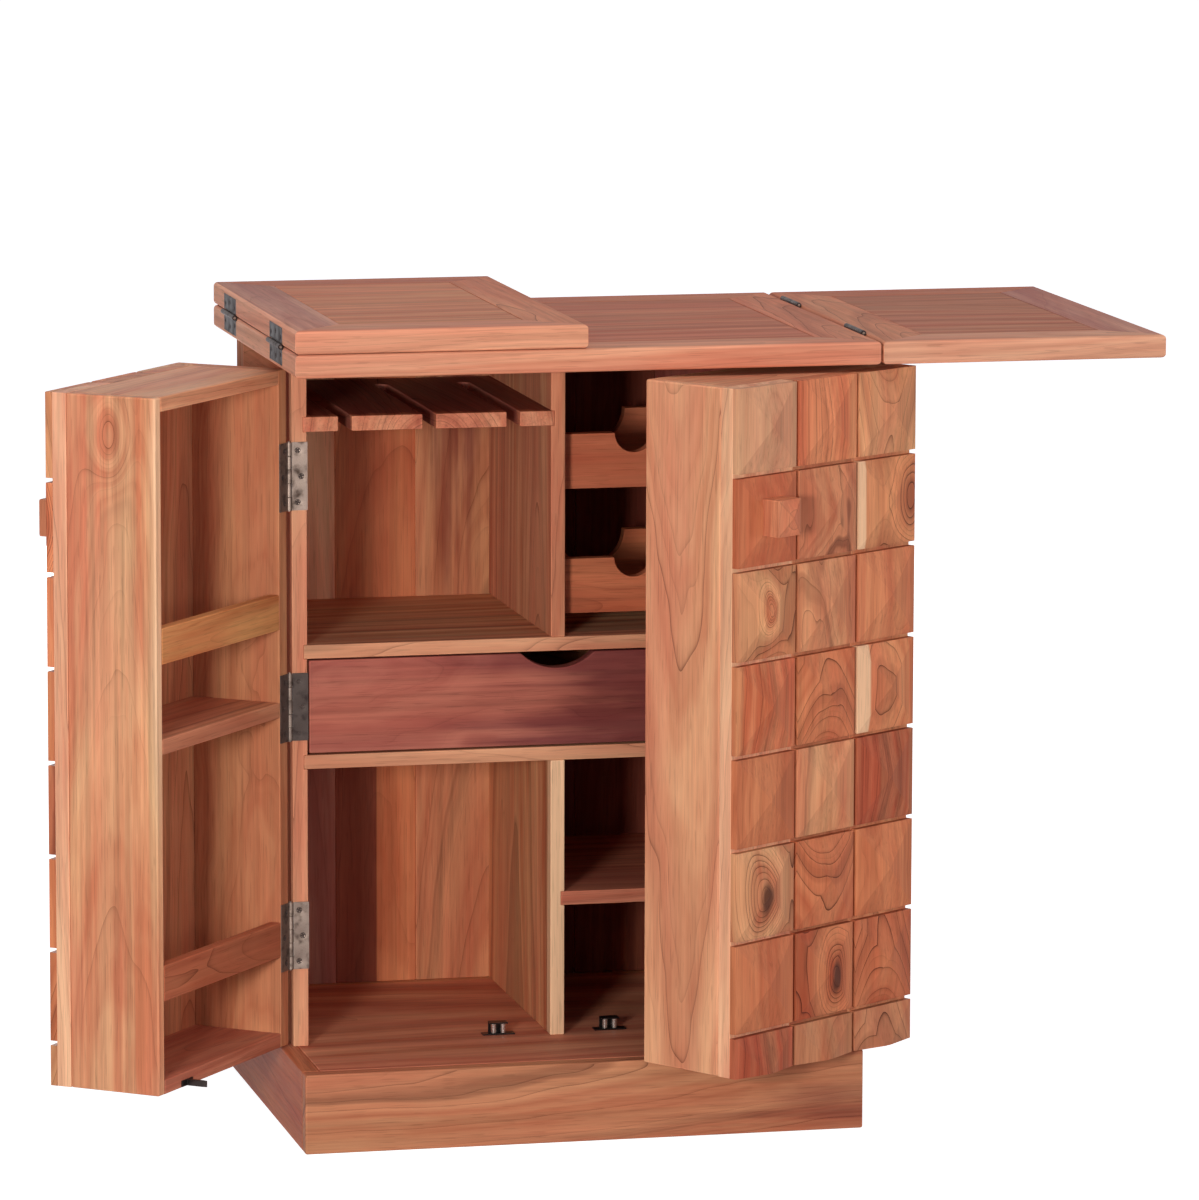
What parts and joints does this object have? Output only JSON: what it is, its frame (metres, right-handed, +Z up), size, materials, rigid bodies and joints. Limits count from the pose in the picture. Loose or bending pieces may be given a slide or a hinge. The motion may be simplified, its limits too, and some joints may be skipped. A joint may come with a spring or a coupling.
{
  "type": "bar armoire",
  "caption": "Wooden bar cabinet with a fold-out top, deep box doors clad in pyramid tiles and shelved inside, a drawer, a stem-glass rack and a bottle rack.",
  "frame": {"origin": "middle of the plinth's front bottom edge, on the floor", "axes": "+X to the right as seen from the front, +Y to the back, +Z up"},
  "size_m": [1.2376, 0.6319, 0.9004],
  "materials": {
    "wood": "satin oiled acacia",
    "red_wood": "satin reddish acacia",
    "dark_wood": "satin dark acacia",
    "aged_steel": "dark aged steel",
    "black_steel": "black lacquered steel",
    "bright_steel": "bright turned steel"
  },
  "bodies": {
    "cabinet": {"plinth_front": "wood", "plinth_back": "wood", "plinth_sides": "wood", "floor_panel": "wood", "left_side_frame": "wood", "left_side_panel": "wood", "right_side_frame": "wood", "right_side_panel": "wood", "back_planks": "wood", "drawer_bottom_board": "wood", "drawer_top_board": "wood", "upper_partition": "wood", "lower_partition": "wood", "tumbler_shelf": "wood", "glass_rack": "wood", "bottle_front_rails": "wood", "bottle_back_rails": "wood", "top_frame": "red_wood", "top_panel": "red_wood", "carcass_hinge_leaves": "aged_steel", "top_hinge_leaves": "aged_steel", "hinge_pins": "aged_steel", "catch_housings": "black_steel"},
    "left_door": {"left_door_hinge_side": "wood", "left_door_free_side": "wood", "left_door_top": "wood", "left_door_bottom": "wood", "left_door_backing": "wood", "left_door_tiles": "wood", "left_door_shelf": "wood", "left_door_guards": "wood", "left_door_knob": "wood", "left_door_hinge_leaves": "aged_steel", "left_door_striker": "aged_steel"},
    "right_door": {"right_door_hinge_side": "wood", "right_door_free_side": "wood", "right_door_top": "wood", "right_door_bottom": "wood", "right_door_backing": "wood", "right_door_tiles": "wood", "right_door_shelf": "wood", "right_door_guards": "wood", "right_door_knob": "wood", "right_door_hinge_leaves": "aged_steel", "right_door_striker": "aged_steel"},
    "left_leaf": {"left_leaf_frame": "red_wood", "left_leaf_panel": "red_wood", "left_leaf_hinge_leaves": "aged_steel"},
    "right_leaf": {"right_leaf_frame": "red_wood", "right_leaf_panel": "red_wood", "right_leaf_hinge_leaves": "aged_steel"},
    "drawer": {"drawer_front": "dark_wood", "drawer_sides": "wood", "drawer_back": "wood", "drawer_bottom": "wood"},
    "left_catch_roller_1": {"left_catch_roller_1": "bright_steel"},
    "left_catch_roller_2": {"left_catch_roller_2": "bright_steel"},
    "right_catch_roller_1": {"right_catch_roller_1": "bright_steel"},
    "right_catch_roller_2": {"right_catch_roller_2": "bright_steel"}
  },
  "joints": [
    {"name": "left_door_swing", "type": "hinge", "parent": "cabinet", "child": "left_door", "pos_m": [-0.301, 0.1465, 0.4], "axis": [0, 0, -1], "range_deg": [-128.3, 41.7]},
    {"name": "right_door_swing", "type": "hinge", "parent": "cabinet", "child": "right_door", "pos_m": [0.301, 0.1465, 0.4], "axis": [0, 0, 1], "range_deg": [-35, 135]},
    {"name": "left_leaf_fold", "type": "hinge", "parent": "cabinet", "child": "left_leaf", "pos_m": [-0.3243, 0.24, 0.8747], "axis": [0, -1, 0], "range_deg": [0, 180]},
    {"name": "right_leaf_fold", "type": "hinge", "parent": "cabinet", "child": "right_leaf", "pos_m": [0.3243, 0.24, 0.8747], "axis": [0, 1, 0], "range_deg": [-180, 0]},
    {"name": "drawer_slide", "type": "slide", "parent": "cabinet", "child": "drawer", "axis": [0, -1, 0], "range_m": [0, 0.13]},
    {"name": "left_catch_roller_1_spin", "type": "hinge", "parent": "cabinet", "child": "left_catch_roller_1", "pos_m": [-0.0689, 0.165, 0.095], "axis": [0, 0, 1], "continuous": true},
    {"name": "left_catch_roller_2_spin", "type": "hinge", "parent": "cabinet", "child": "left_catch_roller_2", "pos_m": [-0.0581, 0.165, 0.095], "axis": [0, 0, 1], "continuous": true},
    {"name": "right_catch_roller_1_spin", "type": "hinge", "parent": "cabinet", "child": "right_catch_roller_1", "pos_m": [0.0581, 0.165, 0.095], "axis": [0, 0, 1], "continuous": true},
    {"name": "right_catch_roller_2_spin", "type": "hinge", "parent": "cabinet", "child": "right_catch_roller_2", "pos_m": [0.0689, 0.165, 0.095], "axis": [0, 0, 1], "continuous": true}
  ]
}
